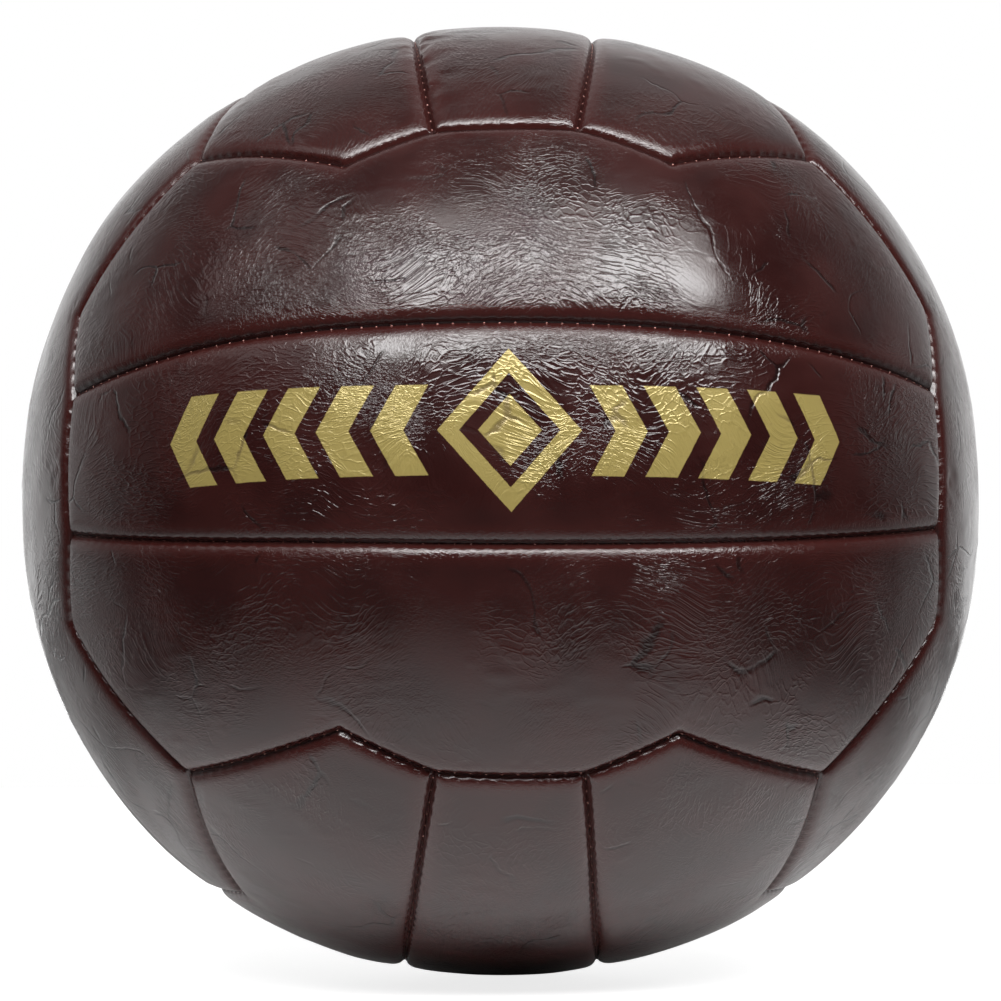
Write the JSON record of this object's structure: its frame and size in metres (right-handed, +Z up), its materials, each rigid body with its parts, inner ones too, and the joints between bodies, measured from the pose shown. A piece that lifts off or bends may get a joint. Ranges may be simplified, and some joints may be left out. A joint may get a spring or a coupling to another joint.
{
  "type": "medicine ball",
  "caption": "Stuffed medicine ball with a dark leather-look cover of stitched strip panels over firm wadding and a weighted core, for lifting, throwing and catching exercises.",
  "frame": {"origin": "centre of the ball", "axes": "+Z up through the middle strip of the top panel group, the front panel group faces -Y with its strips level along X, and +X is to the right seen from the front"},
  "size_m": [0.24, 0.24, 0.24],
  "materials": {
    "cover_leather": "glossy creased synthetic leather, dark red brown",
    "backing_cloth": "plain woven polyester cotton, undyed",
    "sewing_thread": "twisted waxed polyester thread, dark brown",
    "stuffing": "packed textile fibre, mottled grey",
    "core_bag_cloth": "tight cotton canvas",
    "core_weight": "dull iron granules"
  },
  "bodies": {
    "root": {"backing_back_lower": "backing_cloth", "backing_back_middle": "backing_cloth", "backing_back_upper": "backing_cloth", "backing_bottom_left": "backing_cloth", "backing_bottom_middle": "backing_cloth", "backing_bottom_right": "backing_cloth", "backing_front_lower": "backing_cloth", "backing_front_middle": "backing_cloth", "backing_front_upper": "backing_cloth", "backing_left_front": "backing_cloth", "backing_left_middle": "backing_cloth", "backing_left_rear": "backing_cloth", "backing_right_front": "backing_cloth", "backing_right_middle": "backing_cloth", "backing_right_rear": "backing_cloth", "backing_top_left": "backing_cloth", "backing_top_middle": "backing_cloth", "backing_top_right": "backing_cloth", "closing_thread": "sewing_thread", "core_bag_lower": "core_bag_cloth", "core_bag_upper": "core_bag_cloth", "core_fill": "core_weight", "panel_back_lower": "cover_leather", "panel_back_middle": "cover_leather", "panel_back_upper": "cover_leather", "panel_bottom_left": "cover_leather", "panel_bottom_middle": "cover_leather", "panel_bottom_right": "cover_leather", "panel_front_lower": "cover_leather", "panel_front_middle": "cover_leather", "panel_front_upper": "cover_leather", "panel_left_front": "cover_leather", "panel_left_middle": "cover_leather", "panel_left_rear": "cover_leather", "panel_right_front": "cover_leather", "panel_right_middle": "cover_leather", "panel_right_rear": "cover_leather", "panel_top_left": "cover_leather", "panel_top_middle": "cover_leather", "panel_top_right": "cover_leather", "seam_thread_back_left": "sewing_thread", "seam_thread_back_right": "sewing_thread", "seam_thread_bottom_front": "sewing_thread", "seam_thread_bottom_rear": "sewing_thread", "seam_thread_front_left": "sewing_thread", "seam_thread_front_right": "sewing_thread", "seam_thread_left_bottom": "sewing_thread", "seam_thread_left_top": "sewing_thread", "seam_thread_right_bottom": "sewing_thread", "seam_thread_right_top": "sewing_thread", "seam_thread_top_front": "sewing_thread", "seam_thread_top_rear": "sewing_thread", "strip_thread_back": "sewing_thread", "strip_thread_bottom": "sewing_thread", "strip_thread_front": "sewing_thread", "strip_thread_left": "sewing_thread", "strip_thread_right": "sewing_thread", "strip_thread_top": "sewing_thread", "stuffing_lower": "stuffing", "stuffing_upper": "stuffing"}
  },
  "joints": []
}
